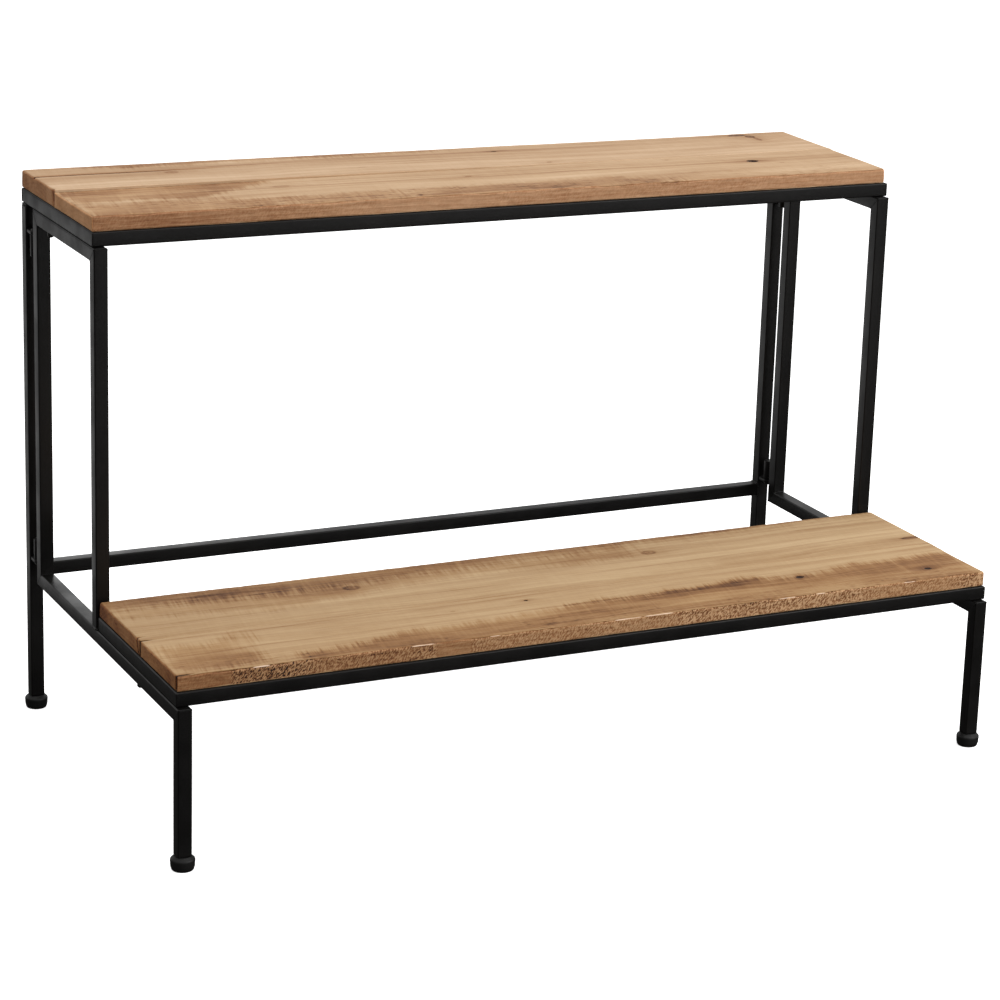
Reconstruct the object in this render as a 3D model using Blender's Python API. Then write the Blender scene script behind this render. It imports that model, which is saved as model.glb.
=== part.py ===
# Folding two-tier plant stand: black square-tube frames and two loose shelves of sawn planks.
# Metres, +Z up, +X to the right and +Y to the back; the origin is on the floor at mid width and mid depth.
import math

import bmesh
import bpy

for old in list(bpy.data.objects):
    bpy.data.objects.remove(old, do_unlink=True)

# Overall sizes, measured over the tubes
width = 0.800
depth = 0.426
lower_rail_top = 0.1449
upper_rail_top = 0.4893
step_depth = 0.215
hinge_gap = 0.0213
back_lower_rail_rise = 0.0004
back_upper_rail_drop = 0.0060

# Square tube, and the clearance between pieces that touch
tube = 0.0127
wall = 0.0010
tube_corner = 0.0018
gap = 0.0003

# Feet and leg caps
foot_height = 0.0130
foot_base_radius = 0.0088
foot_radius = 0.01075
foot_top_radius = 0.0082
plug_length = 0.0110
cap_height = 0.0020
cap_edge = 0.0016

# Hinges
barrel_radius = 0.0055
barrel_length = 0.0200
pin_radius = 0.0030
pin_head_overhang = 0.0018
pin_head_height = 0.0020
lug_thick = 0.0030
leaf_thick = 0.0030
upper_lug_below_rail = 0.0225
lower_lug_above_rail = 0.0050

# Locating studs in the side rails
stud_radius = 0.0030
stud_reach = 0.0070
stud_dome = 0.0022
upper_stud_before_post = 0.0213
lower_stud_behind_leg = 0.1008

# Shelf frames, which lie loose and a little to the right of the middle
shelf_setback = 0.0065
shelf_shift = 0.0008
upper_shelf_overhang = 0.0005
lower_shelf_clearance = 0.0035
bar_width = 0.0250
bar_thick = 0.0030
bar_inset = 0.2000

# Planks: how far the wood stops short of its frame at each edge, and the slit between the two planks
plank_thick = 0.0140
upper_back_thick = 0.0160
plank_edge = 0.0010
plank_front_inset = 0.0015
upper_left_inset = 0.0005
upper_right_inset = 0.0020
upper_back_inset = -0.0025
upper_back_plank = 0.0985
upper_slit = 0.0010
lower_left_inset = 0.0010
lower_right_inset = 0.0004
lower_back_inset = -0.0005
lower_back_plank = 0.1095
lower_slit = 0.0014

# Wood screws
screw_radius = 0.0018
screw_head_radius = 0.0035
screw_head_height = 0.0022
screw_tip = 0.0030
screw_bite = 0.0085
drill_spare = 0.0006

# Planes that the pieces share
half = tube / 2
front_y = -depth / 2
back_y = depth / 2
leg_x = width / 2 - half
front_leg_y = front_y + half
rear_leg_y = back_y - half
leg_front_face = back_y - tube
post_rear_face = leg_front_face - hinge_gap
rear_post_y = post_rear_face - half
step_y = front_y + step_depth
front_post_y = step_y + half
fold_y = leg_front_face - hinge_gap / 2
rear_post_base = lower_rail_top - tube
leg_top = upper_rail_top - cap_height
upper_stud_y = post_rear_face - tube - upper_stud_before_post
lower_stud_y = front_y + tube + lower_stud_behind_leg
upper_lug_z = upper_rail_top - upper_lug_below_rail - lug_thick
lower_lug_z = lower_rail_top + lower_lug_above_rail
plug_side = tube - 2 * wall - 2 * gap

# Each finish is a colour, a roughness and a metallic value
black_coat = ((0.022, 0.021, 0.021, 1.0), 0.48, 0.0)
black_plastic = ((0.016, 0.016, 0.016, 1.0), 0.55, 0.0)
dark_steel = ((0.045, 0.044, 0.043, 1.0), 0.40, 0.85)
zinc = ((0.55, 0.55, 0.53, 1.0), 0.35, 1.0)
sawn_wood = ((0.42, 0.25, 0.13, 1.0), 0.78, 0.0)


def empty(name, place):
    marker = bpy.data.objects.new(name, None)
    marker.location = place
    bpy.context.scene.collection.objects.link(marker)
    return marker


def finish(name, look):
    colour, rough, metal = look
    material = bpy.data.materials.new(name + "_finish")
    material.use_nodes = True
    shader = material.node_tree.nodes["Principled BSDF"]
    shader.inputs["Base Color"].default_value = colour
    shader.inputs["Roughness"].default_value = rough
    shader.inputs["Metallic"].default_value = metal
    return material


def piece(name, mesh, look, parent, place, turn=(0.0, 0.0, 0.0)):
    """One named piece at a place in the stand, parented to the marker that carries it."""
    made = bpy.data.objects.new(name, mesh.copy())
    made.data.name = name
    made.data.materials.append(finish(name, look))
    made.parent = parent
    made.location = [place[i] - parent.location[i] for i in range(3)]
    made.rotation_euler = turn
    bpy.context.scene.collection.objects.link(made)
    return made


def mesh_from(shape, smooth=True):
    bmesh.ops.recalc_face_normals(shape, faces=shape.faces)
    mesh = bpy.data.meshes.new("shape")
    shape.to_mesh(mesh)
    shape.free()
    if smooth:
        mesh.shade_smooth()
        mesh.set_sharp_from_angle(angle=math.radians(35))
    return mesh


def rounded_square(side, corner, steps=3):
    """Points round a square section with rounded corners, anticlockwise."""
    points = []
    reach = side / 2 - corner
    for quarter in range(4):
        middle = math.radians(45 + 90 * quarter)
        centre_x = math.copysign(reach, math.cos(middle))
        centre_y = math.copysign(reach, math.sin(middle))
        for step in range(steps + 1):
            angle = math.radians(90 * quarter + 90 * step / steps)
            points.append((centre_x + corner * math.cos(angle), centre_y + corner * math.sin(angle)))
    return points


def bridge(shape, ring_a, ring_b):
    count = len(ring_a)
    for i in range(count):
        j = (i + 1) % count
        shape.faces.new((ring_a[i], ring_a[j], ring_b[j], ring_b[i]))


def square_tube(length, start=None, end=None):
    """Hollow tube along local Z. A mitred end names the local side that keeps the full length."""
    shape = bmesh.new()
    relief = gap / math.sqrt(2)
    inner_corner = max(tube_corner - wall, gap)

    def set_in(x, y, long_side):
        if long_side is None:
            return 0.0
        axis, sign = long_side
        across = x if axis == "x" else y
        return relief + half - sign * across

    rings = []
    for side, corner in ((tube, tube_corner), (tube - 2 * wall, inner_corner)):
        outline = rounded_square(side, corner)
        rings.append([shape.verts.new((x, y, set_in(x, y, start))) for x, y in outline])
        rings.append([shape.verts.new((x, y, length - set_in(x, y, end))) for x, y in outline])
    bridge(shape, rings[0], rings[1])
    bridge(shape, rings[3], rings[2])
    bridge(shape, rings[2], rings[0])
    bridge(shape, rings[1], rings[3])
    return mesh_from(shape)


def turned(profile, segments):
    """Solid of revolution about local Z; the profile runs from the axis, outwards and back to the axis."""
    shape = bmesh.new()
    angles = [2 * math.pi * i / segments for i in range(segments)]
    rings = []
    for radius, z in profile:
        if radius == 0.0:
            rings.append([shape.verts.new((0.0, 0.0, z))])
        else:
            rings.append([shape.verts.new((radius * math.cos(a), radius * math.sin(a), z)) for a in angles])
    for ring_a, ring_b in zip(rings, rings[1:]):
        for i in range(segments):
            j = (i + 1) % segments
            if len(ring_a) == 1:
                shape.faces.new((ring_a[0], ring_b[i], ring_b[j]))
            elif len(ring_b) == 1:
                shape.faces.new((ring_a[i], ring_a[j], ring_b[0]))
            else:
                shape.faces.new((ring_a[i], ring_a[j], ring_b[j], ring_b[i]))
    return mesh_from(shape)


def drilled_plate(outline, hole_radius, height):
    """Plate from z = 0 to its height, with a round hole about local Z inside a star-shaped outline."""
    shape = bmesh.new()
    rings = []
    for z in (0.0, height):
        rings.append([shape.verts.new((x, y, z)) for x, y in outline])
        hole = []
        for x, y in outline:
            share = hole_radius / math.hypot(x, y)
            hole.append(shape.verts.new((x * share, y * share, z)))
        rings.append(hole)
    bridge(shape, rings[0], rings[2])
    bridge(shape, rings[3], rings[1])
    bridge(shape, rings[1], rings[0])
    bridge(shape, rings[2], rings[3])
    return mesh_from(shape)


def stacked(levels):
    """Solid through rounded squares given as (side, corner, z), closed at both ends."""
    shape = bmesh.new()
    rings = []
    for side, corner, z in levels:
        rings.append([shape.verts.new((x, y, z)) for x, y in rounded_square(side, corner)])
    for ring_a, ring_b in zip(rings, rings[1:]):
        bridge(shape, ring_a, ring_b)
    shape.faces.new(rings[0])
    shape.faces.new(rings[-1])
    return mesh_from(shape)


def block(size, edge=0.0):
    """Box centred on its origin, its edges eased by a small round."""
    shape = bmesh.new()
    bmesh.ops.create_cube(shape, size=1.0)
    bmesh.ops.scale(shape, vec=size, verts=shape.verts)
    if edge:
        bmesh.ops.bevel(shape, geom=list(shape.edges), offset=edge, segments=2, affect="EDGES")
    return mesh_from(shape, smooth=False)


def drill(name, parent, holes, radius):
    """Cutter made of upright cylinders, each given as (x, y, low z, high z)."""
    shape = bmesh.new()
    for x, y, low, high in holes:
        made = bmesh.ops.create_cone(shape, cap_ends=True, segments=16, radius1=radius, radius2=radius,
                                     depth=high - low)
        bmesh.ops.translate(shape, vec=(x, y, (low + high) / 2), verts=made["verts"])
    cutter = bpy.data.objects.new(name, mesh_from(shape, smooth=False))
    cutter.parent = parent
    cutter.location = [-parent.location[i] for i in range(3)]
    cutter.hide_render = True
    cutter.display_type = "WIRE"
    bpy.context.scene.collection.objects.link(cutter)
    return cutter


def cut(target, cutter):
    boolean = target.modifiers.new("holes", "BOOLEAN")
    boolean.operation = "DIFFERENCE"
    boolean.object = cutter


# Turns that lay a tube along X and along Y, and one that stands a pin on its head
along_x = (0.0, math.radians(90), 0.0)
along_y = (math.radians(-90), 0.0, 0.0)
head_down = (math.radians(180), 0.0, 0.0)

# Markers: the back frame stands still, each side folds about its hinge line, each shelf lifts from its seat
upper_front = step_y + shelf_setback
upper_back = back_y + upper_shelf_overhang
lower_front = front_y + shelf_setback
lower_back = step_y - lower_shelf_clearance
back_frame = empty("back_frame", (0.0, rear_leg_y, 0.0))
fold_lines = {
    "left": empty("left_fold_line", (-leg_x, fold_y, 0.0)),
    "right": empty("right_fold_line", (leg_x, fold_y, 0.0)),
}
seats = {
    "upper": empty("upper_shelf_seat", (shelf_shift, (upper_front + upper_back) / 2, upper_rail_top + gap)),
    "lower": empty("lower_shelf_seat", (shelf_shift, (lower_front + lower_back) / 2, lower_rail_top + gap)),
}

# Foot: a black plastic mushroom with a plug that pushes into the tube
plug_radius = plug_side / 2
foot_mesh = turned([
    (0.0, 0.0),
    (foot_base_radius * 0.91, 0.0),
    (foot_base_radius, foot_height * 0.06),
    ((foot_base_radius + foot_radius) / 2, foot_height * 0.32),
    (foot_radius, foot_height * 0.60),
    (foot_radius, foot_height * 0.74),
    ((foot_radius + foot_top_radius) / 2, foot_height * 0.89),
    (foot_top_radius, foot_height - gap),
    (plug_radius, foot_height - gap),
    (plug_radius, foot_height + plug_length * 0.9),
    (plug_radius * 0.8, foot_height + plug_length),
    (0.0, foot_height + plug_length),
], 24)

# End cap of a rear leg: a square plug under a thin cushion-edged top
cap_mesh = stacked([
    (plug_side - gap, tube_corner / 2, -plug_length),
    (plug_side, tube_corner / 2, gap),
    (tube, tube_corner, gap),
    (tube, tube_corner, gap + (cap_height - gap) * 0.3),
    (tube - cap_edge * 0.4, tube_corner, gap + (cap_height - gap) * 0.8),
    (tube - 2 * cap_edge, tube_corner, cap_height),
])

# Hinge pin: the head at the top, the shank down through the lug and the barrel
pin_head = pin_radius + pin_head_overhang
shank = lug_thick + gap + barrel_length
pin_mesh = turned([
    (0.0, -shank),
    (pin_radius * 0.85, -shank),
    (pin_radius, -shank + pin_radius * 0.15),
    (pin_radius, 0.0),
    (pin_head, 0.0),
    (pin_head, pin_head_height * 0.6),
    (pin_head * 0.85, pin_head_height),
    (0.0, pin_head_height),
], 16)

# Lug: a plate off the leg's front face with a round nose about the hinge line
hinge_hole = pin_radius + gap
lug_back = hinge_gap / 2 - gap
lug_outline = []
for i in range(13):
    angle = math.radians(180 + 15 * i)
    lug_outline.append((barrel_radius * math.cos(angle), barrel_radius * math.sin(angle)))
lug_outline += [(barrel_radius, lug_back / 2), (barrel_radius, lug_back), (barrel_radius / 2, lug_back)]
lug_outline += [(-x, y) for x, y in reversed(lug_outline[13:])]
lug_mesh = drilled_plate(lug_outline, hinge_hole, lug_thick)

# Barrel: a round sleeve with a leaf that is welded to the rear post
leaf_angle = math.asin(leaf_thick / 2 / barrel_radius)
leaf_end = gap - hinge_gap / 2
barrel_outline = []
for i in range(23):
    angle = leaf_angle - math.pi / 2 + (2 * math.pi - 2 * leaf_angle) * i / 22
    barrel_outline.append((barrel_radius * math.cos(angle), barrel_radius * math.sin(angle)))
barrel_outline += [(-leaf_thick / 2, leaf_end), (leaf_thick / 2, leaf_end)]
barrel_mesh = drilled_plate(barrel_outline, hinge_hole, barrel_length)

# Locating stud: flush with the rail's top, with a domed end that shows under the rail
stud_profile = [(0.0, -tube - stud_reach)]
for i in range(1, 5):
    angle = math.radians(22.5 * i)
    rise = stud_dome * (1 - math.cos(angle))
    stud_profile.append((stud_radius * math.sin(angle), -tube - stud_reach + rise))
stud_profile += [(stud_radius, -2 * gap), (stud_radius - gap, -gap), (0.0, -gap)]
stud_mesh = turned(stud_profile, 16)

# Wood screw: a pan head below the cross bar, the shank up into the plank
screw_length = bar_thick + 2 * gap + screw_bite
screw_mesh = turned([
    (0.0, -screw_head_height),
    (screw_head_radius * 0.75, -screw_head_height),
    (screw_head_radius, -screw_head_height * 0.55),
    (screw_head_radius, 0.0),
    (screw_radius, 0.0),
    (screw_radius, screw_length - screw_tip),
    (0.0, screw_length),
], 12)

# Back frame: two rear legs with feet and end caps, tied by two rails
rear_leg_mesh = square_tube(leg_top - foot_height)
rail_length = width - 2 * tube - 2 * gap
back_rail_mesh = square_tube(rail_length)
for side, sign in (("left", -1), ("right", 1)):
    x = sign * leg_x
    piece(side + "_rear_leg", rear_leg_mesh, black_coat, back_frame, (x, rear_leg_y, foot_height))
    piece(side + "_rear_foot", foot_mesh, black_plastic, back_frame, (x, rear_leg_y, 0.0))
    piece(side + "_rear_leg_cap", cap_mesh, black_plastic, back_frame, (x, rear_leg_y, leg_top))
back_rail_tops = {
    "lower": lower_rail_top + back_lower_rail_rise,
    "upper": upper_rail_top - back_upper_rail_drop,
}
for tier, rail_top in back_rail_tops.items():
    piece("back_" + tier + "_rail", back_rail_mesh, black_coat, back_frame,
          (-rail_length / 2, rear_leg_y, rail_top - half), along_x)

# Side frames: a closed loop of mitred tube, with the lower rail carried forward to the short front leg
front_leg_mesh = square_tube(lower_rail_top - foot_height, end=("y", -1))
lower_rail_mesh = square_tube(post_rear_face - front_y, start=("y", -1), end=("y", 1))
rear_post_mesh = square_tube(upper_rail_top - rear_post_base, start=("y", 1), end=("y", 1))
upper_rail_mesh = square_tube(post_rear_face - step_y, start=("y", -1), end=("y", -1))
front_post_mesh = square_tube(upper_rail_top - lower_rail_top - gap, end=("y", -1))
for side, sign in (("left", -1), ("right", 1)):
    x = sign * leg_x
    line = fold_lines[side]
    piece(side + "_front_leg", front_leg_mesh, black_coat, line, (x, front_leg_y, foot_height))
    piece(side + "_front_foot", foot_mesh, black_plastic, line, (x, front_leg_y, 0.0))
    piece(side + "_rear_post", rear_post_mesh, black_coat, line, (x, rear_post_y, rear_post_base))
    piece(side + "_front_post", front_post_mesh, black_coat, line, (x, front_post_y, lower_rail_top + gap))
    lower_rail = piece(side + "_lower_rail", lower_rail_mesh, black_coat, line,
                       (x, front_y, lower_rail_top - half), along_y)
    upper_rail = piece(side + "_upper_rail", upper_rail_mesh, black_coat, line,
                       (x, step_y, upper_rail_top - half), along_y)

    studs = drill(side + "_stud_drill", line, [
        (x, upper_stud_y, upper_rail_top - tube - wall, upper_rail_top + wall),
        (x, lower_stud_y, lower_rail_top - tube - wall, lower_rail_top + wall),
    ], stud_radius + gap)
    cut(upper_rail, studs)
    cut(lower_rail, studs)
    piece(side + "_upper_stud", stud_mesh, dark_steel, line, (x, upper_stud_y, upper_rail_top))
    piece(side + "_lower_stud", stud_mesh, dark_steel, line, (x, lower_stud_y, lower_rail_top))

    # The upper lug sits on top of its barrel and the lower lug carries its barrel
    piece(side + "_upper_hinge_lug", lug_mesh, black_coat, back_frame, (x, fold_y, upper_lug_z))
    piece(side + "_upper_hinge_barrel", barrel_mesh, black_coat, line,
          (x, fold_y, upper_lug_z - gap - barrel_length))
    piece(side + "_upper_hinge_pin", pin_mesh, dark_steel, back_frame,
          (x, fold_y, upper_lug_z + lug_thick + gap))
    piece(side + "_lower_hinge_lug", lug_mesh, black_coat, back_frame, (x, fold_y, lower_lug_z))
    piece(side + "_lower_hinge_barrel", barrel_mesh, black_coat, line,
          (x, fold_y, lower_lug_z + lug_thick + gap))
    piece(side + "_lower_hinge_pin", pin_mesh, dark_steel, back_frame,
          (x, fold_y, lower_lug_z - gap), head_down)

# Shelves: a mitred tube frame with two cross bars, and two planks screwed on from below
front_tube_mesh = square_tube(width, start=("y", -1), end=("y", -1))
back_tube_mesh = square_tube(width, start=("y", 1), end=("y", 1))
shelf_edges = {"upper": (upper_front, upper_back), "lower": (lower_front, lower_back)}
shelf_left = shelf_shift - width / 2
shelf_right = shelf_shift + width / 2
wood_ends = {
    "upper": (shelf_left + upper_left_inset, shelf_right - upper_right_inset),
    "lower": (shelf_left + lower_left_inset, shelf_right - lower_right_inset),
}
wood_backs = {"upper": upper_back - upper_back_inset, "lower": lower_back - lower_back_inset}
back_planks = {"upper": upper_back_plank, "lower": lower_back_plank}
back_thicks = {"upper": upper_back_thick, "lower": plank_thick}
slits = {"upper": upper_slit, "lower": lower_slit}
for tier, seat in seats.items():
    base = seat.location[2]
    top = base + tube
    front, back = shelf_edges[tier]
    name = tier + "_shelf_"
    left_tube_mesh = square_tube(back - front, start=("x", -1), end=("x", -1))
    right_tube_mesh = square_tube(back - front, start=("x", 1), end=("x", 1))
    level = base + half
    piece(name + "front_tube", front_tube_mesh, black_coat, seat, (shelf_left, front + half, level), along_x)
    piece(name + "back_tube", back_tube_mesh, black_coat, seat, (shelf_left, back - half, level), along_x)
    piece(name + "left_tube", left_tube_mesh, black_coat, seat, (shelf_left + half, front, level), along_y)
    piece(name + "right_tube", right_tube_mesh, black_coat, seat, (shelf_right - half, front, level), along_y)

    # The back plank keeps its width and the front plank fills the rest, less the slit
    wood_back = wood_backs[tier]
    joint = wood_back - back_planks[tier]
    boards = {
        "front": (front + plank_front_inset, joint - slits[tier]),
        "back": (joint, wood_back),
    }
    screw_rows = {board: (low + high) / 2 for board, (low, high) in boards.items()}
    bar_places = {"left": shelf_left + bar_inset, "right": shelf_right - bar_inset}
    drill_low = top - bar_thick - wall
    drill_high = top + gap + screw_bite + drill_spare
    holes = [(x, y, drill_low, drill_high) for x in bar_places.values() for y in screw_rows.values()]
    screws = drill(name + "screw_drill", seat, holes, screw_radius + gap)

    bar_mesh = block((bar_width, back - front - 2 * tube - 2 * gap, bar_thick))
    for side, x in bar_places.items():
        bar = piece(name + side + "_bar", bar_mesh, black_coat, seat,
                    (x, (front + back) / 2, top - bar_thick / 2))
        cut(bar, screws)
        for board, y in screw_rows.items():
            piece(name + side + "_" + board + "_screw", screw_mesh, zinc, seat,
                  (x, y, top - bar_thick - gap))

    left_end, right_end = wood_ends[tier]
    thicks = {"front": plank_thick, "back": back_thicks[tier]}
    for board, (low, high) in boards.items():
        thick = thicks[board]
        plank_mesh = block((right_end - left_end, high - low, thick), plank_edge)
        plank = piece(name + board + "_plank", plank_mesh, sawn_wood, seat,
                      ((left_end + right_end) / 2, (low + high) / 2, top + gap + thick / 2))
        cut(plank, screws)
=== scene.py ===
import bpy
import numpy as np
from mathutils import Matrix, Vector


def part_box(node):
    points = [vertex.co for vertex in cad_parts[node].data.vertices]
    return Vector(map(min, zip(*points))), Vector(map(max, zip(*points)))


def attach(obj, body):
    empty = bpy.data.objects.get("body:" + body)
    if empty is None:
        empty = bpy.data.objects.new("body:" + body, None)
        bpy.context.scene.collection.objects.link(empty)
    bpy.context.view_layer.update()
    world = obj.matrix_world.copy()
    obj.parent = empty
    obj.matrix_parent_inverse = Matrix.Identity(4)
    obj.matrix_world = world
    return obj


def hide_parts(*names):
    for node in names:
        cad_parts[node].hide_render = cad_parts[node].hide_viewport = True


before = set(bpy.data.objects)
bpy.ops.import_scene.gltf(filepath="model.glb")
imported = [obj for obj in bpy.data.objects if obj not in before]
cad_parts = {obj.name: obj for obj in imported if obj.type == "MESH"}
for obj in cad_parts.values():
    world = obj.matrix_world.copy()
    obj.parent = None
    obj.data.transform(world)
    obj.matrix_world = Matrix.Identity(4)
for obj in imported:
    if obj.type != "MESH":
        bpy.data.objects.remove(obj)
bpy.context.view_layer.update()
bpy.context.scene.view_settings.view_transform = "Standard"


# Rear legs and back rails: half-inch square steel tube with 1 mm walls, cut square and welded into a frame.
# The whole frame is sprayed with satin black powder and baked, which leaves a fine orange-peel skin.
def feed(tree, node, inputs):
    """Gives a node's inputs their values, or links them to other nodes' outputs."""
    for key, value in inputs.items():
        if isinstance(value, bpy.types.NodeSocket):
            tree.links.new(value, node.inputs[key])
        else:
            node.inputs[key].default_value = value
    return node


def put(tree, kind, inputs=None, **settings):
    """Adds a node with its settings and its inputs."""
    made = tree.nodes.new(kind)
    for key, value in settings.items():
        setattr(made, key, value)
    return feed(tree, made, inputs or {})


def blend_colour(tree, factor, first, second, blend="MIX"):
    """Mixes two colours by a factor and gives the resulting socket."""
    inputs = {0: factor, 6: first, 7: second}
    return put(tree, "ShaderNodeMix", inputs, data_type="RGBA", blend_type=blend).outputs[2]


def maths(tree, operation, first, second=0.0):
    """One maths step on values or sockets."""
    return put(tree, "ShaderNodeMath", {0: first, 1: second}, operation=operation).outputs[0]


def eased(tree, value, low, high, to_low=0.0, to_high=1.0):
    """Carries a value smoothly from one range to another."""
    limits = {"Value": value, "From Min": low, "From Max": high, "To Min": to_low, "To Max": to_high}
    return put(tree, "ShaderNodeMapRange", limits, interpolation_type="SMOOTHSTEP").outputs[0]


def new_group(name, inputs, outputs):
    """An empty node group with named sockets: floats, or colours where the name ends in Colour."""
    group = bpy.data.node_groups.new(name, "ShaderNodeTree")
    for names, side in ((inputs, "INPUT"), (outputs, "OUTPUT")):
        for label in names:
            kind = "NodeSocketColor" if label.endswith("Colour") else "NodeSocketFloat"
            group.interface.new_socket(label, in_out=side, socket_type=kind)
    return group, group.nodes.new("NodeGroupInput"), group.nodes.new("NodeGroupOutput")


def new_material(name):
    """A new material, with its node tree and its shader."""
    material = bpy.data.materials.new(name)
    material.use_nodes = True
    tree = material.node_tree
    return material, tree, tree.nodes["Principled BSDF"]


# Moulded skin: small rounded bumps of one size, and a slow drift in gloss and tone, on Object coordinates
skin, skin_in, skin_out = new_group("moulded_skin", ["Bump Size"], ["Height", "Gloss Drift", "Tone"])
skin_place = put(skin, "ShaderNodeTexCoord").outputs["Object"]
skin_scale = maths(skin, "DIVIDE", 1.0, skin_in.outputs["Bump Size"])
for label, scale, detail in (("Height", skin_scale, 1.5), ("Gloss Drift", 38.0, 4.0), ("Tone", 9.0, 3.0)):
    texture = put(skin, "ShaderNodeTexNoise", {"Vector": skin_place, "Scale": scale, "Detail": detail})
    skin.links.new(texture.outputs[0], skin_out.inputs[label])


def skinned(name, dark, light, gloss_low, gloss_high, bump_size, depth, specular, metal=0.0):
    """A one-coat finish: two close tones, a drifting gloss and the moulded skin's small bumps."""
    material, tree, shader = new_material(name)
    texture = put(tree, "ShaderNodeGroup", {"Bump Size": bump_size}, node_tree=skin).outputs
    bump = {"Height": texture["Height"], "Distance": depth, "Strength": 0.6}
    feed(tree, shader, {
        "Base Color": blend_colour(tree, eased(tree, texture["Tone"], 0.35, 0.65), dark, light),
        "Roughness": eased(tree, texture["Gloss Drift"], 0.3, 0.7, gloss_low, gloss_high),
        "Normal": put(tree, "ShaderNodeBump", bump).outputs[0],
        "Specular IOR Level": specular,
        "Metallic": metal})
    return material


black_coat = skinned("black_powder_coat", (0.0032, 0.0029, 0.0027, 1), (0.0052, 0.0046, 0.0042, 1),
                     0.30, 0.42, 0.0011, 0.00012, 0.18)


def add_piece(name, points, faces, finish, body, nodes=(), sharp=38.0, marks=None):
    """Makes one closed mesh from points and four-cornered faces: points that meet are merged, faces that
    shrink to a triangle lose a corner, and the whole is turned outwards by the sign of its volume.
    marks are named values at the points, kept on the mesh for its material."""
    merged, index = np.unique(np.round(points.reshape(-1, 3), 7), axis=0, return_inverse=True)
    faces = index.reshape(-1)[faces.reshape(-1, 4)]
    a, b, c, d = (merged[faces[:, i]] for i in range(4))
    volume = np.einsum("ij,ij->", a, np.cross(b, c)) + np.einsum("ij,ij->", a, np.cross(c, d))
    if volume < 0:
        faces = faces[:, ::-1]
    same = faces == np.roll(faces, -1, axis=1)
    one_short = same.sum(axis=1) == 1
    quads = faces[~same.any(axis=1)]
    corners = faces[one_short][~same[one_short]].reshape(-1, 3)
    mesh = bpy.data.meshes.new(name)
    mesh.from_pydata(merged.tolist(), [], quads.tolist() + corners.tolist())
    mesh.shade_smooth()
    mesh.set_sharp_from_angle(angle=np.radians(sharp))
    mesh.materials.append(finish)
    for label, values in (marks or {}).items():
        settled = np.zeros(len(merged), np.float32)
        settled[index.reshape(-1)] = values
        mesh.attributes.new(label, "FLOAT", "POINT").data.foreach_set("value", settled)
    made = bpy.data.objects.new(name, mesh)
    bpy.context.scene.collection.objects.link(made)
    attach(made, body)
    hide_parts(*nodes)


def grid_faces(rows, columns, wrap_rows=False, wrap_columns=False):
    """Corner numbers of the faces of a grid of points, closed round either way if asked."""
    i, j = np.meshgrid(np.arange(rows if wrap_rows else rows - 1),
                       np.arange(columns if wrap_columns else columns - 1), indexing="ij")
    i2, j2 = (i + 1) % rows, (j + 1) % columns
    corners = (i * columns + j, i2 * columns + j, i2 * columns + j2, i * columns + j2)
    return np.stack(corners, axis=-1).reshape(-1, 4)


tube_wall = 0.0010
tube_corner = 0.0012
tube_arris = 0.00025


def rounded_square(half, corner, steps=7):
    """Points round a square: each corner is a quarter circle of the corner's radius."""
    angles = np.radians(np.linspace(0, 90, steps + 1)[None, :] + 90 * np.arange(4)[:, None])
    centres = np.sign(np.stack([np.cos(angles.mean(1)), np.sin(angles.mean(1))], -1)) * (half - corner)
    ring = np.stack([np.cos(angles), np.sin(angles)], -1) * corner
    return (centres[:, None, :] + ring).reshape(-1, 2)


def centre_of(low, high):
    """The middle of a box, from its two corners."""
    return (np.array(low) + np.array(high)) / 2


def end_ring(section, low, high, axis, at_start, long_side, along=0.0):
    """A section's points at one end of a box, moved in along its axis: square across, or on a 45 degree mitre
    that leaves the section's long side, a column and a sign, at full length."""
    across, up = (axis + 1) % 3, (axis + 2) % 3
    middle = centre_of(low, high)
    inset = np.full(len(section), along)
    if long_side is not None:
        column, sign = long_side
        inset += (high[across] - low[across]) / 2 - sign * section[:, column]
    ring = np.empty((len(section), 3))
    ring[:, [across, up]] = section + middle[[across, up]]
    ring[:, axis] = low[axis] + inset if at_start else high[axis] - inset
    return ring


def tube_surface(low, high, axis, start=None, end=None):
    """A rounded square carried along one axis, over the outside, round the cut end and back down the bore.
    start and end name the section's side that a mitre leaves at full length."""
    half = (high[(axis + 1) % 3] - low[(axis + 1) % 3]) / 2
    steps = ((tube_wall, 0.0), (tube_arris, 0.0), (tube_arris * 0.3, tube_arris * 0.3), (0.0, tube_arris),
             (0.0, tube_arris * 4))
    rings = []
    for at_start, long_side, levels in ((True, start, steps), (False, end, steps[::-1])):
        for inset, along in levels:
            section = rounded_square(half - inset, tube_corner - inset)
            rings.append(end_ring(section, low, high, axis, at_start, long_side, along))
    points = np.stack(rings)
    return points, grid_faces(len(points), len(points[0]), True, True)


def add_tube(node, body, axis, start=None, end=None):
    """The coated tube that stands for a CAD tube, in the same box."""
    points, faces = tube_surface(*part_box(node), axis, start, end)
    add_piece("coated_" + node, points, faces, black_coat, body, [node])


def unit(vectors):
    """Rows of vectors, each brought to a length of one."""
    return vectors / np.linalg.norm(vectors, axis=1, keepdims=True)


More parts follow.
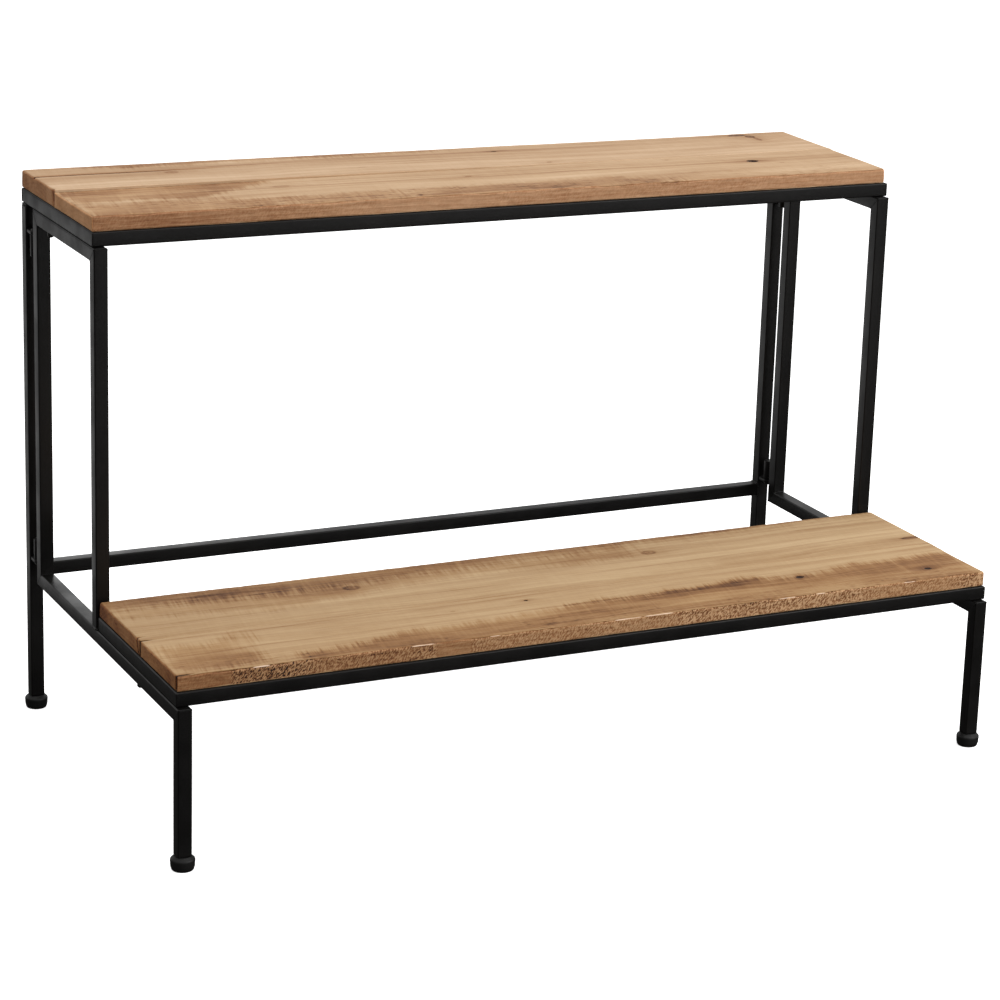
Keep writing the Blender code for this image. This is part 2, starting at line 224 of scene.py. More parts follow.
def bead(path, outward, radius, sunk, closed):
    """A weld bead: a circle carried along a path, its radius swelling and shrinking by a tenth in each
    ripple."""
    ripple = 0.0015
    ahead = np.roll(path, -1, axis=0) - np.roll(path, 1, axis=0)
    if not closed:
        ahead[0], ahead[-1] = path[1] - path[0], path[-1] - path[-2]
    side = unit(np.cross(unit(ahead), outward))
    steps = np.linalg.norm(np.diff(path, axis=0), axis=1)
    run = np.concatenate([[0.0], np.cumsum(steps)])
    size = radius * (1 + 0.10 * np.sin(run / ripple * 2 * np.pi))
    if not closed:
        size[[0, -1]] = radius * 0.02
    turn = np.linspace(0, 2 * np.pi, 10, endpoint=False)
    cosine, sine = np.cos(turn)[None, :, None], np.sin(turn)[None, :, None]
    circle = cosine * outward[:, None, :] + sine * side[:, None, :]
    points = (path - outward * sunk)[:, None, :] + circle * size[:, None, None]
    faces = grid_faces(len(path), len(turn), closed, True)
    if not closed:
        points[0], points[-1] = points[0].mean(0), points[-1].mean(0)
    return points, faces


def fillet(start, stop, count, outward):
    """A straight weld bead from one point to another, run out to nothing at both ends."""
    path = np.linspace(start, stop, count)
    return bead(path, np.tile(outward, (count, 1)), radius=0.0011, sunk=0.0003, closed=False)


def seam(node, axis, at_start, long_side, radius=0.00060, sunk=0.00042):
    """The bead round one end of a tube, on the mitre's plane or square across."""
    low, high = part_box(node)
    across, up = (axis + 1) % 3, (axis + 2) % 3
    half = (high[across] - low[across]) / 2
    spacing = 0.0007
    coarse = rounded_square(half, tube_corner, 4)
    ends = np.roll(coarse, -1, axis=0)
    count = np.maximum(1, np.round(np.linalg.norm(ends - coarse, axis=1) / spacing).astype(int))
    share = np.concatenate([np.arange(n) / n for n in count])[:, None]
    section = np.repeat(coarse, count, axis=0) * (1 - share) + np.repeat(ends, count, axis=0) * share
    core = half - tube_corner
    normal = section - np.clip(section, -core, core)
    outward = np.zeros((len(section), 3))
    outward[:, [across, up]] = unit(normal)
    return bead(end_ring(section, low, high, axis, at_start, long_side), outward, radius, sunk, True)


def add_welds(name, body, beads):
    """Joins the beads of one body into one piece."""
    points = [surface.reshape(-1, 3) for surface, corners in beads]
    shifts = np.concatenate([[0], np.cumsum([len(surface) for surface in points])])
    faces = [corners + shift for (surface, corners), shift in zip(beads, shifts)]
    add_piece(name, np.concatenate(points), np.concatenate(faces), black_coat, body)


sides = ("left", "right")
tiers = ("upper", "lower")
full_bead = {"radius": 0.0011, "sunk": 0.0002}
for side in sides:
    add_tube(side + "_rear_leg", "back_frame", 2)
back_welds = []
for rail in ("back_lower_rail", "back_upper_rail"):
    add_tube(rail, "back_frame", 0)
    back_welds += [seam(rail, 0, end, None, **full_bead) for end in (True, False)]


# Leg caps: black polythene end plugs pressed into the tops of the rear legs, with a cushioned edge.
# Only the thin top shows, between the leg and the shelf frame that rests on it.
black_plastic = skinned("black_plastic", (0.0042, 0.0040, 0.0038, 1), (0.0075, 0.0071, 0.0067, 1),
                        0.40, 0.55, 0.0007, 0.00008, 0.24)
seat_gap = 0.0003
for side in sides:
    low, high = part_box(side + "_rear_leg_cap")
    half = (high[0] - low[0]) / 2
    leg_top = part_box(side + "_rear_leg")[1][2] + seat_gap
    shoulder = tube_wall + seat_gap
    edge = 0.0013
    turn = np.radians(np.linspace(0, 90, 7))
    insets = np.concatenate([[half, shoulder + 0.0008, shoulder, shoulder],
                             edge * (1 - np.cos(turn)), [half]])
    heights = np.concatenate([[low[2], low[2], low[2] + 0.001, leg_top],
                              high[2] - edge + edge * np.sin(turn), [high[2]]])
    rings = []
    for inset, height in zip(insets, heights):
        ring = rounded_square(max(half - inset, 1e-9), min(tube_corner, max(half - inset, 0.0)))
        ring = ring + centre_of(low, high)[:2]
        rings.append(np.column_stack([ring, np.full(len(ring), height)]))
    rings = np.stack(rings)
    faces = grid_faces(len(rings), len(rings[0]), False, True)
    add_piece(side + "_leg_end_plug", rings, faces, black_plastic, "back_frame",
              [side + "_rear_leg_cap"])


# Side frames: a loop of four tubes mitred at the corners, with the lower rail run on to a short front leg.
# The seams are welded and dressed before coating, so only a low line shows round each corner.
side_welds = {side: [] for side in sides}
for side in sides:
    body = side + "_side_frame"
    add_tube(side + "_front_leg", body, 2, end=(1, -1))
    add_tube(side + "_lower_rail", body, 1, start=(0, 1), end=(0, -1))
    add_tube(side + "_rear_post", body, 2, start=(1, 1), end=(1, 1))
    add_tube(side + "_upper_rail", body, 1, start=(0, 1), end=(0, 1))
    add_tube(side + "_front_post", body, 2, end=(1, -1))
    side_welds[side] += [
        seam(side + "_front_leg", 2, False, (1, -1)),
        seam(side + "_rear_post", 2, True, (1, 1)),
        seam(side + "_rear_post", 2, False, (1, 1)),
        seam(side + "_front_post", 2, False, (1, -1)),
        seam(side + "_front_post", 2, True, None, **full_bead),
    ]


# Feet: moulded black mushrooms pushed up into the leg ends, a soft shoulder under the tube, a full belly
# and a narrower flat base. They are turned shapes, so each is a profile carried once round.
def smooth_profile(knots, steps=6):
    """A curve through (radius, height) knots: each span is a cubic whose slope at a knot is that of the line
    between the knot's two neighbours."""
    knots = np.asarray(knots, float)
    padded = np.concatenate([[2 * knots[0] - knots[1]], knots, [2 * knots[-1] - knots[-2]]])
    t = np.linspace(0, 1, steps, endpoint=False)[None, :, None]
    p0, p1, p2, p3 = (padded[i:len(padded) - 3 + i][:, None, :] for i in range(4))
    curve = 0.5 * (2 * p1 + (p2 - p0) * t + (2 * p0 - 5 * p1 + 4 * p2 - p3) * t**2
                   + (3 * p1 - p0 - 3 * p2 + p3) * t**3)
    return np.concatenate([curve.reshape(-1, 2), knots[-1:]])


def turned(profile, centre, segments=56):
    """A profile of (radius, height) carried round a vertical line, closed on the line at both ends."""
    profile = np.concatenate([[[0.0, profile[0][1]]], profile, [[0.0, profile[-1][1]]]])
    angle = np.linspace(0, 2 * np.pi, segments, endpoint=False)
    radius, height = profile[:, :1], profile[:, 1:]
    points = np.stack([centre[0] + radius * np.cos(angle), centre[1] + radius * np.sin(angle),
                       centre[2] + height + 0 * angle], axis=-1)
    return points, grid_faces(len(points), segments, False, True)


for corner in ("left_front", "right_front", "left_rear", "right_rear"):
    low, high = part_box(corner + "_foot")
    belly = (high[0] - low[0]) / 2
    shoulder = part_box(corner + "_leg")[0][2] - seat_gap
    plug = 0.0050
    skirt = smooth_profile([(0.0083, 0.0), (0.0092, 0.0004), (0.0098, 0.0016), (0.0104, 0.0040),
                            (belly - 0.0002, 0.0064), (belly - 0.00003, 0.0084), (belly - 0.0003, 0.0101),
                            (belly - 0.0019, 0.0117), (0.0078, shoulder)])
    shaft = [(plug, shoulder), (plug, high[2] - 0.0012), (plug - 0.0009, high[2])]
    points, faces = turned(np.concatenate([skirt, shaft]), (*centre_of(low, high)[:2], 0.0))
    body = "back_frame" if corner.endswith("rear") else corner.replace("front", "side_frame")
    add_piece(corner + "_moulded_foot", points, faces, black_plastic, body,
              [corner + "_foot"])


# Hinges: a steel sleeve with a leaf welded to the rear post turns on a pin held in a lug off the rear leg.
# The upper lug caps its sleeve and the lower lug carries its sleeve, so the side frame can't lift off.
hinge_steel = skinned("blackened_steel", (0.012, 0.0115, 0.011, 1), (0.022, 0.021, 0.020, 1),
                      0.30, 0.45, 0.0009, 0.00006, 0.40, 0.35)
pin_hole = 0.0033
pin_radius = 0.0030
pin_head = 0.0020
sleeve_radius = 0.0055
leaf_half = 0.0015
root_gap = 0.0002
weld_stop = 0.0008


def drilled(outline, hole, low, high, chamfer):
    """A star-shaped outline carried up with eased edges, then back down through a round hole."""
    ahead = np.roll(outline, -1, axis=0) - np.roll(outline, 1, axis=0)
    outward = unit(np.column_stack([ahead[:, 1], -ahead[:, 0]]))
    toward = unit(outline)
    quarter = np.radians(np.linspace(90, 0, 4))
    edges = list(zip(chamfer * (1 - np.cos(quarter)), chamfer * (1 - np.sin(quarter))))
    lip = chamfer * 0.6
    levels = [(toward * (hole + lip), low),
              *((outline - outward * inset, low + lift) for inset, lift in edges),
              *((outline - outward * inset, high - lift) for inset, lift in edges[::-1]),
              (toward * (hole + lip), high), (toward * hole, high - lip), (toward * hole, low + lip)]
    points = np.stack([np.column_stack([ring, np.full(len(ring), height)]) for ring, height in levels])
    return points, grid_faces(len(points), len(outline), True, True)


for side in sides:
    leg_low, leg_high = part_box(side + "_rear_leg")
    leg_face, post_face = leg_low[1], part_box(side + "_rear_post")[1][1]
    axis_x = (leg_low[0] + leg_high[0]) / 2
    axis_y = (leg_face + post_face) / 2
    reach = leg_face - axis_y - root_gap
    nose = np.radians(np.linspace(180, 360, 25))
    lug = np.concatenate([
        np.column_stack([np.cos(nose), np.sin(nose)]) * sleeve_radius,
        np.column_stack([np.full(4, sleeve_radius), np.linspace(0.3, 1, 4) * reach]),
        np.column_stack([np.linspace(0.7, -0.7, 7) * sleeve_radius, np.full(7, reach)]),
        np.column_stack([np.full(4, -sleeve_radius), np.linspace(1, 0.3, 4) * reach]),
    ])
    spread = np.arcsin(leaf_half / sleeve_radius) + 0.10
    bend = np.linspace(spread - np.pi / 2, 1.5 * np.pi - spread, 41)
    root = sleeve_radius * np.cos(spread) + 0.0006
    sleeve = np.concatenate([
        np.column_stack([np.cos(bend), np.sin(bend)]) * sleeve_radius,
        np.column_stack([np.full(4, -leaf_half), np.linspace(-root, -reach, 4)]),
        np.column_stack([np.full(4, leaf_half), np.linspace(-reach, -root, 4)]),
    ])
    for tier in tiers:
        name = side + "_" + tier + "_hinge_"
        for part, outline, body in (("lug", lug, "back_frame"), ("barrel", sleeve, side + "_side_frame")):
            low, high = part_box(name + part)
            points, faces = drilled(outline, pin_hole, low[2], high[2], chamfer=0.0004)
            points = points + [axis_x, axis_y, 0.0]
            add_piece(name + part + "_steel", points, faces, black_coat, body, [name + part])
        low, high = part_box(name + "pin")
        length = high[2] - low[2]
        head = (high[0] - low[0]) / 2
        dome = smooth_profile([(head, length - pin_head), (head, length - 0.0012),
                               (head * 0.86, length - 0.0005), (head * 0.5, length - 0.0001),
                               (0.0004, length)])
        stem = [(pin_radius - 0.0005, 0.0), (pin_radius, 0.0005), (pin_radius, length - pin_head)]
        points, faces = turned(np.concatenate([stem, dome]), (axis_x, axis_y, low[2]), 40)
        if tier == "lower":
            points[..., 2] = low[2] + high[2] - points[..., 2]
        add_piece(name + "pin_steel", points, faces, hinge_steel, "back_frame", [name + "pin"])

        # A bead under or over the lug where it meets the leg, and one each side of the leaf on the post
        low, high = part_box(name + "lug")
        left, right = axis_x - 0.8 * sleeve_radius, axis_x + 0.8 * sleeve_radius
        for height, tilt in ((low[2], -1), (high[2], 1)):
            ends = (left, leg_face, height), (right, leg_face, height)
            back_welds.append(fillet(*ends, 24, [0.0, -0.6, 0.8 * tilt]))
        low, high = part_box(name + "barrel")
        for tilt in (-1, 1):
            leaf_x = axis_x + tilt * leaf_half
            ends = (leaf_x, post_face, low[2] + weld_stop), (leaf_x, post_face, high[2] - weld_stop)
            side_welds[side].append(fillet(*ends, 48, [0.7071 * tilt, 0.7071, 0.0]))
    add_welds(side + "_side_frame_welds", side + "_side_frame", side_welds[side])
add_welds("back_frame_welds", "back_frame", back_welds)


# Locating studs: blackened steel pegs through the side rails, with a domed end that shows underneath.
# They sit flush in the rail's top, where the shelf frame comes down on them.
dome_height = 0.0022
for side in sides:
    for tier in tiers:
        node = side + "_" + tier + "_stud"
        low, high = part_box(node)
        radius, length = (high[0] - low[0]) / 2, high[2] - low[2]
        turn = np.radians(np.linspace(4, 90, 12))
        dome = np.column_stack([radius * np.sin(turn), dome_height * (1 - np.cos(turn))])
        rim = [(radius, length - 0.0004), (radius - 0.0001, length - 0.0001), (radius - 0.0004, length)]
        points, faces = turned(np.concatenate([dome, rim]), (*centre_of(low, high)[:2], low[2]), 40)
        add_piece(node + "_steel", points, faces, hinge_steel, side + "_side_frame", [node])


# Shelf frames: four tubes mitred flat into a rectangle, with two flat bars let in across the underside.
# The planks lie on the tubes and are screwed up through the bars.
for tier in tiers:
    body = tier + "_shelf"
    add_tube(body + "_front_tube", body, 0, start=(0, -1), end=(0, -1))
    add_tube(body + "_back_tube", body, 0, start=(0, 1), end=(0, 1))
    add_tube(body + "_left_tube", body, 1, start=(1, -1), end=(1, -1))
    add_tube(body + "_right_tube", body, 1, start=(1, 1), end=(1, 1))
    beads = []
    for edge, sign in (("front", -1), ("back", 1)):
        beads += [seam(body + "_" + edge + "_tube", 0, end, (0, sign)) for end in (True, False)]
    for side in sides:
        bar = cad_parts[body + "_" + side + "_bar"]
        bar.data.materials.clear()
        bar.data.materials.append(black_coat)
        low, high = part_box(bar.name)
        for y, tilt in ((low[1], 1), (high[1], -1)):
            ends = (low[0] + 0.001, y, low[2]), (high[0] - 0.001, y, low[2])
            beads.append(fillet(*ends, 48, [0.0, 0.6 * tilt, -0.8]))
    add_welds(body + "_welds", body, beads)


# Wood screws: zinc-plated pan heads with a cross recess, driven up through the bars into the planks.
# The thread is a ridge that climbs one pitch in each turn.
zinc_plate = skinned("zinc_plate", (0.42, 0.43, 0.42, 1), (0.60, 0.60, 0.57, 1),
                     0.25, 0.42, 0.0012, 0.00004, 0.5, 1.0)
head_height = 0.0022
shank_radius = 0.00155
thread_pitch = 0.0014
thread_height = 0.00025
tip_length = 0.0030
recess_depth = 0.0011
for tier in tiers:
    for place in ("left_front", "left_back", "right_front", "right_back"):
        node = tier + "_shelf_" + place + "_screw"
        low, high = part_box(node)
        head = (high[0] - low[0]) / 2
        length = high[2] - low[2]
        angle = np.linspace(0, 2 * np.pi, 48, endpoint=False)
        crown = np.column_stack([np.linspace(0.0, 1.0, 14) * head * 0.72, np.zeros(14)])
        cheek = smooth_profile([(head * 0.78, 0.00004), (head * 0.93, 0.0004), (head, 0.0010),
                                (head, head_height)], 4)
        taper = length - tip_length
        shank = np.column_stack([np.full(46, shank_radius), np.linspace(head_height, taper, 46)])
        tip = np.column_stack([np.linspace(shank_radius, 0.0, 14), np.linspace(taper, length, 14)])
        profile = np.concatenate([crown, cheek, shank, tip])
        radius = profile[:, :1] + 0 * angle
        height = profile[:, 1:] + 0 * angle
        ridge = np.abs((height / thread_pitch - angle / (2 * np.pi)) % 1.0 - 0.5) * 2
        threaded = np.clip((height - 0.0024) / 0.001, 0, 1) * np.clip((length - height) / tip_length, 0, 1)
        radius = radius + thread_height * ridge**2 * threaded
        x, y = radius * np.cos(angle), radius * np.sin(angle)
        arm = np.minimum(np.abs(x), np.abs(y))
        recess = np.clip((0.0007 - arm) / 0.0003, 0, 1) * np.clip((head * 0.62 - radius) / 0.0005, 0, 1)
        height = height + np.where(height < 0.0001, recess_depth * recess, 0.0)
        middle = centre_of(low, high)
        points = np.stack([middle[0] + x, middle[1] + y, low[2] + height], axis=-1)
        faces = grid_faces(len(profile), len(angle), False, True)
        add_piece(node + "_zinc", points, faces, zinc_plate, tier + "_shelf", [node])


# Planks: old softwood boards, skip-planed, so that hollows stay rough-sawn and dull between smooth pale
# stripes. Each pair lies edge to edge on its frame; the outer edges are torn, and the boards part a little at
# both ends.
def noise(seed, *places):
    """Smooth random values from 0 to 1: a table of random numbers, read between its points with eased
    weights."""
    table = np.random.default_rng(seed).random((64, 64))
    u, v = places if len(places) == 2 else (places[0], np.full_like(places[0], 7.3))
    i, j = np.floor(u).astype(int), np.floor(v).astype(int)
    s, t = u - i, v - j
    s, t = s * s * (3 - 2 * s), t * t * (3 - 2 * t)
    near = table[i % 64, j % 64] * (1 - s) + table[(i + 1) % 64, j % 64] * s
    far = table[i % 64, (j + 1) % 64] * (1 - s) + table[(i + 1) % 64, (j + 1) % 64] * s
    return near * (1 - t) + far * t


def ease(value, low, high):
    """A smooth step from 0 at low to 1 at high."""
    share = np.clip((value - low) / (high - low), 0, 1)
    return share * share * (3 - 2 * share)


def band(value, start, stop, soft):
    """1 between start and stop and 0 outside, with a smooth step as wide as twice soft at each."""
    return ease(value, start - soft, start + soft) * (1 - ease(value, stop - soft, stop + soft))


def ruled(low, high, step, ease_low, ease_high, marks=()):
    """Grid lines from low to high: an even step, with closer lines over both rounded edges and over each
    mark, which is a centre, a reach and a count."""
    lines = [np.linspace(low, high, int((high - low) / step) + 1)[1:-1]]
    curve = np.array([0, 0.12, 0.3, 0.52, 0.76, 1.0])
    lines += [low + ease_low * curve, high - ease_high * curve]
    lines += [centre + np.linspace(-reach, reach, count) for centre, reach, count in marks]
    lines = np.unique(np.round(np.clip(np.concatenate(lines), low, high), 6))
    keep = np.concatenate([[True], np.diff(lines) > step * 0.04])
    keep[-1] = True
    return lines[keep]


def shell(xs, ys, zs):
    """The six faces of a block as grids of points, with their faces. Past its rounded edges the underside is
    plain, so its inner rows are all drawn to the middle line, where they merge."""
    rim = 7
    points, faces, count = [], [], 0
    ruling = (xs, ys, zs)
    for axis, lines in enumerate(ruling):
        across, up = (axis + 1) % 3, (axis + 2) % 3
        for end in (lines[0], lines[-1]):
            u, v = np.meshgrid(ruling[across], ruling[up], indexing="ij")
            sheet = np.empty(u.shape + (3,))
            sheet[..., axis], sheet[..., across], sheet[..., up] = end, u, v
            if axis == 2 and end == lines[0]:
                sheet[rim:-rim, rim:-rim, 1] = (ys[0] + ys[-1]) / 2
            corners = grid_faces(*u.shape) + count
            faces.append(corners if end == lines[-1] else corners[:, ::-1])
            points.append(sheet.reshape(-1, 3))
            count += u.size
    return np.concatenate(points), np.concatenate(faces)


# Sawn timber: every mark on the wood adds to one depth of tone, which a row of wood colours turns to colour
board_values = ["Pith Y", "Pith Z", "Seed", "Tint Colour"]
point_marks = ["Grain Shift", "Dull", "Hem", "Fleck", "Knot", "Torn", "Tuft", "Splinter", "End", "Tone",
               "Vein"]
timber, timber_in, timber_out = new_group("sawn_timber", board_values + point_marks,
                                          ["Colour", "Height", "Gloss"])
given = timber_in.outputs
spot = put(timber, "ShaderNodeSeparateXYZ", {0: put(timber, "ShaderNodeTexCoord").outputs["Object"]})
along, over, up = spot.outputs[0], spot.outputs[1], spot.outputs[2]
across = maths(timber, "ADD", over, given["Grain Shift"])


def times(first, second):
    """The product of two values."""
    return maths(timber, "MULTIPLY", first, second)


def total(*values):
    """The sum of several values."""
    result = values[0]
    for value in values[1:]:
        result = maths(timber, "ADD", result, value)
    return result


def swing(value, amount):
    """A noise value's swing about its middle, times an amount."""
    return times(maths(timber, "SUBTRACT", value, 0.5), amount)


def grain_noise(x, y, z, detail, roughness=0.55):
    """Noise read at three values, each times its own scale, and varied by the board's seed."""
    scaled = {index: times(*pair) for index, pair in enumerate((x, y, z))}
    place = put(timber, "ShaderNodeCombineXYZ", scaled).outputs[0]
    inputs = {"Vector": place, "W": given["Seed"], "Scale": 1.0, "Detail": detail, "Roughness": roughness}
    return put(timber, "ShaderNodeTexNoise", inputs, noise_dimensions="4D").outputs[0]


# Grain: long streaks, finer veins and fibres, all drawn out along the board and parted by the knots
streak = grain_noise((along, 1.5), (across, 80.0), (up, 80.0), 3.0)
veins = grain_noise((along, 7.0), (across, 380.0), (up, 380.0), 2.0)
fibre = grain_noise((along, 40.0), (across, 1500.0), (up, 1500.0), 2.0)
cloud = grain_noise((along, 7.0), (over, 24.0), (up, 24.0), 3.0)
wander = grain_noise((along, 2.4), (across, 9.0), (up, 9.0), 2.0)
from_pith = put(timber, "ShaderNodeCombineXYZ", {
    0: maths(timber, "SUBTRACT", across, given["Pith Y"]),
    1: maths(timber, "SUBTRACT", up, given["Pith Z"])}).outputs[0]
distance = put(timber, "ShaderNodeVectorMath", {0: from_pith}, operation="LENGTH").outputs["Value"]
ring = maths(timber, "FRACT", total(times(distance, 240.0), times(wander, 4.0)))
late_wood = times(eased(timber, ring, 0.30, 0.90), eased(timber, ring, 1.0, 0.92))

# Saw lines: slanted ticks across the board, which comb the edge of each dull patch into soft teeth
slant = total(along, times(over, -0.14))
tick = grain_noise((slant, 340.0), (over, 16.0), (up, 40.0), 2.0)
scratch = grain_noise((slant, 105.0), (over, 12.0), (up, 40.0), 2.0)
fray = total(given["Dull"], times(given["Hem"], swing(tick, 1.5)), swing(cloud, 0.5))
rough_sawn = eased(timber, fray, 0.12, 0.95)
fleck = grain_noise((along, 110.0), (over, 600.0), (up, 600.0), 2.0)
flecked = times(given["Fleck"], eased(timber, fleck, 0.52, 0.70))

# Torn edges: tufts of crushed fibre that lean over
lean = total(times(along, 0.80), times(up, -0.60))
lie = total(times(along, 0.60), times(up, 0.80))
tuft = grain_noise((lean, 820.0), (over, 500.0), (lie, 330.0), 2.0, 0.6)
scrape = grain_noise((along, 55.0), (over, 500.0), (up, 520.0), 3.0, 0.6)
pore = grain_noise((along, 300.0), (over, 900.0), (up, 900.0), 2.0)
vein_line = maths(timber, "EXPONENT", times(times(given["Vein"], given["Vein"]), -1.0))

# The Knot mark darkens the knots, and it also carries the painted shade of the splits and of the joint's
# faces
depth = total(0.28, swing(streak, 0.58), swing(veins, 0.32), swing(fibre, 0.30), swing(cloud, 0.34),
              swing(tick, 0.10), times(late_wood, 0.06), given["Tone"], times(flecked, 0.30),
              times(times(vein_line, eased(timber, streak, 0.40, 0.62)), 0.20),
              times(rough_sawn, total(0.36, swing(tick, 0.10), swing(cloud, 0.80), swing(streak, -0.40),
                                      times(eased(timber, scratch, 0.56, 0.76), -0.13))),
              times(given["Torn"], total(0.10, swing(scrape, 0.45), swing(streak, -0.50))),
              times(given["Tuft"], swing(eased(timber, tuft, 0.41, 0.59), 0.74)),
              times(given["End"], swing(pore, 0.4)),
              times(given["Knot"], 0.72))
tones = put(timber, "ShaderNodeValToRGB", {0: depth})


def wood_tone(red, green, blue):
    """A colour read off the wood in screen values, as the share of light that the bare wood gives back."""
    screen = np.array([red, green, blue]) / 255
    return (*(((screen + 0.055) / 1.055)**2.4 / 1.18), 1.0)


wood_row = [(0.0, wood_tone(226, 199, 168)), (0.28, wood_tone(205, 175, 142)),
            (0.50, wood_tone(184, 150, 115)), (0.70, wood_tone(158, 119, 84)),
            (0.86, wood_tone(120, 82, 53)), (1.0, wood_tone(46, 28, 18))]
while len(tones.color_ramp.elements) < len(wood_row):
    tones.color_ramp.elements.new(0.5)
for stop, (position, value) in zip(tones.color_ramp.elements, wood_row):
    stop.position, stop.color = position, value
colour = tones.outputs[0]
for share, stain in ((1.0, given["Tint Colour"]), (rough_sawn, (1.0, 0.945, 0.855, 1)),
                     (given["Torn"], (1.0, 0.855, 0.80, 1)), (given["End"], (1.0, 0.74, 0.56, 1))):
    colour = blend_colour(timber, share, colour, stain, "MULTIPLY")
# Pale torn slivers along the top arris, which also stand as a painted highlight where the arris catches the
# light
colour = blend_colour(timber, given["Splinter"], colour, wood_tone(238, 208, 180))
height = total(times(fibre, 0.5), times(late_wood, 0.25), times(given["Splinter"], 1.5),
               times(times(rough_sawn, tick), -1.3), times(given["Tuft"], times(tuft, -3.0)),
               times(given["Torn"], times(scrape, -0.8)), times(vein_line, -0.3))
feed(timber, timber_out, {"Colour": colour, "Height": height,
                          "Gloss": eased(timber, fibre, 0.2, 0.8, 0.60, 0.85)})


def timber_finish(name, pith, seed, tint):
    """One board's wood: the shared timber group with this board's heart line, seed and tint."""
    material, tree, shader = new_material(name)
    inputs = dict(zip(board_values, (*pith, seed, tint)))
    for label in point_marks:
        attribute = label.lower().replace(" ", "_")
        inputs[label] = put(tree, "ShaderNodeAttribute", attribute_name=attribute).outputs["Fac"]
    wood = put(tree, "ShaderNodeGroup", inputs, node_tree=timber).outputs
    bump = {"Height": wood["Height"], "Distance": 0.00035, "Strength": 0.8}
    feed(tree, shader, {
        "Base Color": wood["Colour"],
        "Roughness": wood["Gloss"],
        "Normal": put(tree, "ShaderNodeBump", bump).outputs[0],
        "Specular IOR Level": 0.28})
    return material


arris = 0.0024
bottom_arris = 0.0014
joint_arris = 0.00025
grid_step = (0.0023, 0.0016, 0.0014)
hole_depth = 0.002
vein_half = 0.0010
vein_reach = 8.0
# Painted shade in the splits: darkness per metre of groove depth
groove_shade = 700

# Each board's marks. x and y are in metres from the middle of the stand, and so are depths and widths.
# knots: x, y, half length, half width, darkness and depth.
# dull: x places, the y of the patch's front and back line at them, and its strength at each of the two lines.
# splits: x from, x to, y, depth, lean, half width and reach down the end.
# veins: dark lines along the board, each by its y at the left end, in the middle and at the right end.
# stripes: y from, y to, and tone at the left and at the right end.
# flecks: y from, y to and strength of short torn flecks.
# edge: x and tone of the outer edge. end: tone of the sawn ends. tufts: their strength on the outer edge.
# smooth: x from and x to of stretches of edge without tufts. splinters: x from and x to of the pale slivers
# along the outer edge's top, which are partly a painted highlight on the arris. parted: how far the joint's
# side is worn back at the left end.
# skew: how far the right end is out of square. taper: how much thinner the board is at the right end.
# pith: y and z of the tree's heart. seed: the board's own random marks. tint: its colour among the others.
unmarked = {"splits": [], "smooth": [], "splinters": [], "parted": 0.0, "skew": 0.0, "taper": 0.0}
